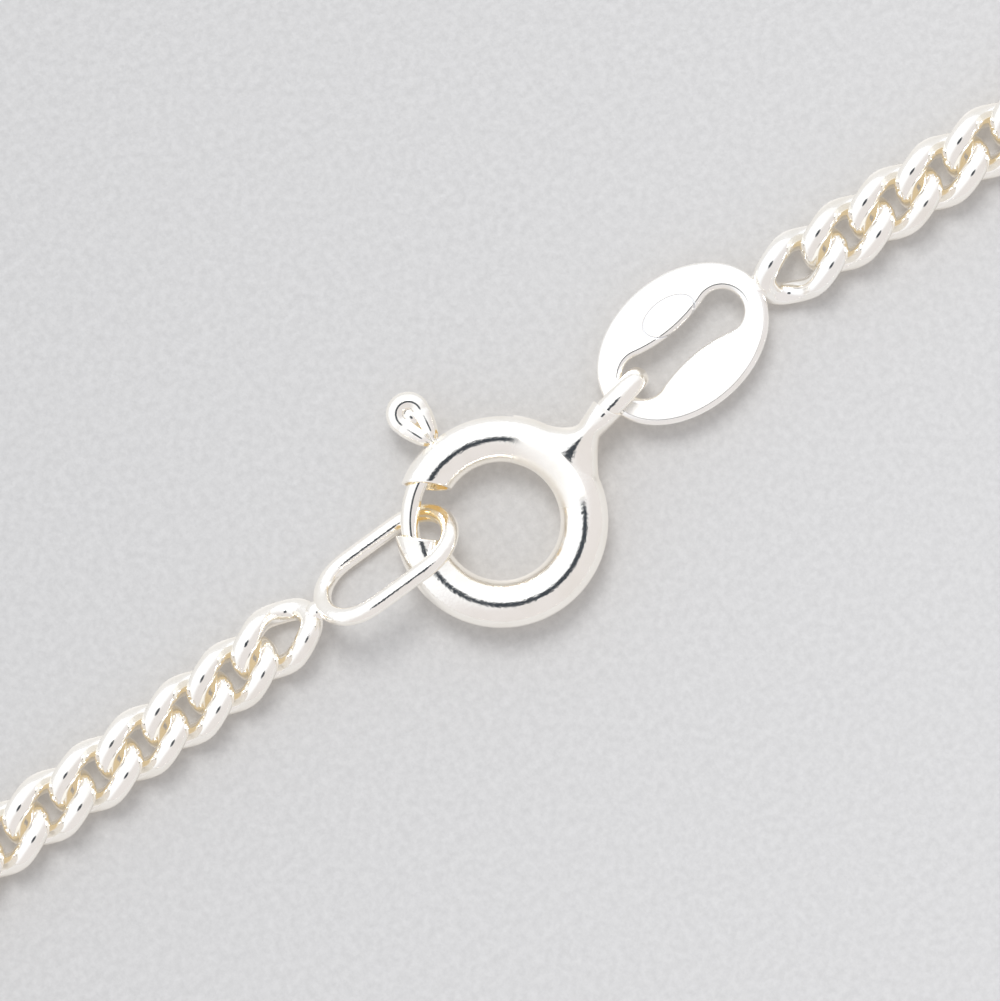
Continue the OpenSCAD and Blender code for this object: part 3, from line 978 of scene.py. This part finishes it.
# %% Tag with its drop of solder and the first link
BEAD_GRID = (17, 28)
TAG_BEAD = np.array([TAG_TIP[0] - 0.06, TAG_TIP[1] - 0.17, LINK_Z + 0.06])
TAG_BEAD_HALF = (0.36, 0.44, 0.37)
tag_bead = skin(ellipsoid(TAG_BEAD, TAG_BEAD_HALF, *BEAD_GRID), False)
first_link = skin(placed_links([0], *FINE_LINK)[0], True)
make_piece("oval_tag", [tag_skin, tag_bead, first_link], tag_silver, "tag_silver", "necklace",
           "tag")
print("Tag:", made_pieces[-1][1], "triangles")

# %% [markdown]
# ## The end ring
# The chain's other end closes with an oval ring that the clasp holds. It leans up over the spring
# ring on one side. It is a plain wire bent round two pins, so its middle line is two straight runs
# and two half circles, and the last link is soldered to it.

# %% End ring with the last link
END_ACROSS = 1.08
END_WIRE = 0.3
END_LEAN = math.radians(-50)
END_AT = np.array([CLASP[0] - END_ALONG, CLASP[1] + END_ACROSS,
                   END_WIRE - END_SIDE * math.sin(END_LEAN)])
END_BEAD = np.array([END_AT[0] - 2.77, END_AT[1] + 0.09, 1.07])
END_BEAD_HALF = (0.40, 0.36, 0.38)


def end_ring_grid():
    """Equal steps along the middle line: half circles round two middles. A moving mean of seven
    eases the bends, and the whole ring is then leant about the chain's direction."""
    a = np.linspace(0, 2 * np.pi, 240, endpoint=False)
    line = np.stack([END_SIDE * np.cos(a) + END_HALF * np.sign(np.cos(a)),
                     END_SIDE * np.sin(a), 0 * a], 1)
    closed = np.concatenate([line, line[:1]])
    run = run_along(closed)
    line = at_runs(closed, run, np.linspace(0, run[-1], 120, endpoint=False))
    soft = sum(np.roll(line, k, 0) for k in range(-3, 4)) / 7
    along = unit(np.roll(soft, -1, 0) - np.roll(soft, 1, 0))
    rise = np.zeros_like(soft) + [0, 0, 1]
    grid = sweep(soft, np.cross(rise, along), rise, END_WIRE, END_WIRE, 22)
    cos, sin = math.cos(END_LEAN), math.sin(END_LEAN)
    y = grid[..., 1] * cos - grid[..., 2] * sin
    z = grid[..., 1] * sin + grid[..., 2] * cos
    return np.stack([grid[..., 0], y, z], -1) + END_AT


end_bead = skin(ellipsoid(END_BEAD, END_BEAD_HALF, *BEAD_GRID), False)
last_link = skin(placed_links([LINKS - 1], *FINE_LINK)[0], True)
make_piece("end_loop", [skin(end_ring_grid(), True), end_bead, last_link], ring_silver,
           "ring_silver", "necklace", "end_ring")
print("End ring:", made_pieces[-1][1], "triangles")

# %% [markdown]
# ## The paper under it
# The necklace lies on pale uncoated paper. Up close that is even in colour, with a fine grain that
# the light rakes over. Two noises do it: one for the colour's grain, one for the surface. Away from
# the tent's shaded side it gets a little lighter, which is a slow change of colour here. Next to
# silver, paper also gets the light that the silver throws down, and the silver's rims show it. The
# renderer leaves that light out, so rays from silver find the paper about a quarter brighter.

# %% Paper finish
PAPER_DARK = (0.432, 0.429, 0.422, 1)
PAPER_LIGHT = (0.598, 0.593, 0.584, 1)
PAPER_BY_SILVER = (0.628, 0.622, 0.610, 1)
LIGHTER_WAY = (1.11, -2.87)
LIT_OVER = 0.12
GRAIN_SHARE = 0.48
paper, paper_shader, paper_place = start_finish("Uncoated paper")
for name, value in (("Roughness", 0.4), ("Specular IOR Level", 0.6), ("Sheen Weight", 0.3),
                    ("Sheen Roughness", 0.4)):
    paper_shader.inputs[name].default_value = value
grain = paper_place.noise(0.00028, 5.0, 0.7)
along_x, along_y = ((paper_place.split(axis) - CLASP[axis] * MM) * LIGHTER_WAY[axis]
                    for axis in range(2))
lit = (along_x + along_y).between(-LIT_OVER, LIT_OVER)
shade = GRAIN_SHARE * grain.between(0.25, 0.75) + (1 - GRAIN_SHARE) * lit
from_silver = paper_place.node("ShaderNodeLightPath", {}, {}, "Is Glossy Ray")
seen_paper = shade.mix(PAPER_DARK, PAPER_LIGHT)
plug(paper_shader, "Base Color", from_silver.mix(seen_paper, PAPER_BY_SILVER))
values = {"Strength": 0.5, "Distance": 2.5e-5, "Height": paper_place.noise(0.0003, 4.0, 0.6)}
plug(paper_shader, "Normal", paper_place.node("ShaderNodeBump", {}, values))
print("Paper's own colour goes from", PAPER_DARK[:3], "to", PAPER_LIGHT[:3])

# %% Paper sheet
HALF_FLOOR = 3.0
floor_mesh = bpy.data.meshes.new("paper")
corners = HALF_FLOOR * np.array([[-1, -1, 0], [1, -1, 0], [1, 1, 0], [-1, 1, 0]])
floor_mesh.from_pydata(corners, [], [[0, 1, 2, 3]])
floor_mesh.materials.append(paper)
paper_floor = add_object("paper", floor_mesh)
print("Paper:", 2 * HALF_FLOOR, "m square")

# %% [markdown]
# ## A white tent with a lens in it
# Silver is photographed inside a white tent, because it shows whatever is round it. The camera
# looks in through a hole overhead, and that hole is what draws the thin dark streaks along the
# crests. The world is that tent: white on the upper left of the picture, dimmer and a little warm
# on the lower right, with one dark oval spot off the zenith, as the lens and the hand over it.

# %% Tent
PHOTO_TURN = math.radians(-36)
KEY_WAY = math.radians(135) + PHOTO_TURN
SPOT_WAY = math.radians(-50) + PHOTO_TURN
SPOT_OFF = math.radians(5)
SPOT_HALF = math.sin(math.radians(11))
SPOT_LONG = math.sin(math.radians(13))
TENT_DIM = (0.83, 0.805, 0.82, 1)
TENT_WHITE = (1.08, 1.11, 1.17, 1)
LENS_DARK = (0.05, 0.06, 0.075, 1)

world = bpy.data.worlds.new("Tent")
bpy.context.scene.world = world
world.use_nodes = True
sky_tree = world.node_tree
background = sky_tree.nodes["Background"]
way = Wire(sky_tree, sky_tree.nodes.new("ShaderNodeTexCoord").outputs["Generated"])


def facing(x, y, z):
    """Cosine of the angle between the looked-at direction and this one."""
    return way.node("ShaderNodeVectorMath", {"operation": "DOT_PRODUCT"}, {0: way, 1: (x, y, z)}, 1)


towards_key = facing(math.cos(KEY_WAY), math.sin(KEY_WAY), 0)
cloth = towards_key.between(-0.42, 0.12).mix(TENT_DIM, TENT_WHITE)
off = (facing(math.cos(SPOT_WAY), math.sin(SPOT_WAY), 0) - math.sin(SPOT_OFF)) / SPOT_HALF
aside = facing(-math.sin(SPOT_WAY), math.cos(SPOT_WAY), 0) / SPOT_LONG
in_spot = (1 - (off * off + aside * aside).between(0.8, 1.2)) * facing(0, 0, 1).above(0)
sky = in_spot.mix(cloth, LENS_DARK)
sky_tree.links.new(sky.socket, background.inputs["Color"])
background.inputs["Strength"].default_value = 1.0
print("Tent: dark spot", round(math.degrees(SPOT_OFF)), "degrees off the zenith")

# %% Soft key light from above in the picture
LAMP_WAY = math.radians(102) + PHOTO_TURN
LAMP_ASIDE = 0.36
LAMP_UP = 0.62
LAMP_AIM = [0.006, 0.055, 0]
key_data = bpy.data.lights.new("Soft key", "AREA")
key_data.shape = "DISK"
key_data.size = 0.30
key_data.energy = 2.4
key = add_object("Soft key", key_data)
key.location = polar(LAMP_ASIDE, LAMP_WAY) + [0, 0, LAMP_UP] + LAMP_AIM
key.rotation_euler = (math.atan2(LAMP_ASIDE, LAMP_UP), 0, LAMP_WAY + math.pi / 2)
print("Key light at", [round(float(v), 3) for v in key.location])

# %% [markdown]
# ## Camera
# The picture was taken straight down on the clasp. At 30.3 pixels to the millimetre its 1001 rows
# span 33 mm, and the chain runs across it at 36 degrees, so the camera looks down from 0.3 m and
# is turned by that much.

# %% Camera
ROWS = 1001
PX_PER_MM = 30.3
DISTANCE = 0.30
SENSOR = 36
VIEW_FROM_CLASP = [0.364, 0.5819, -0.05]
camera_data = bpy.data.cameras.new("Camera")
camera_data.sensor_width = SENSOR
camera_data.lens = SENSOR * DISTANCE / (ROWS / PX_PER_MM * MM)
camera_data.clip_start = 0.01
camera = add_object("Camera", camera_data)
camera.location = (CLASP + VIEW_FROM_CLASP) * MM + [0, 0, DISTANCE]
camera.rotation_euler = (0, 0, PHOTO_TURN)
bpy.context.scene.camera = camera
bpy.context.scene.view_settings.view_transform = "Standard"
print("Lens", round(camera_data.lens, 1), "mm at", DISTANCE, "m")

# %% Sizes and finish
print("Pieces:", len(made_pieces), "with", sum(count for _, count in made_pieces), "triangles")
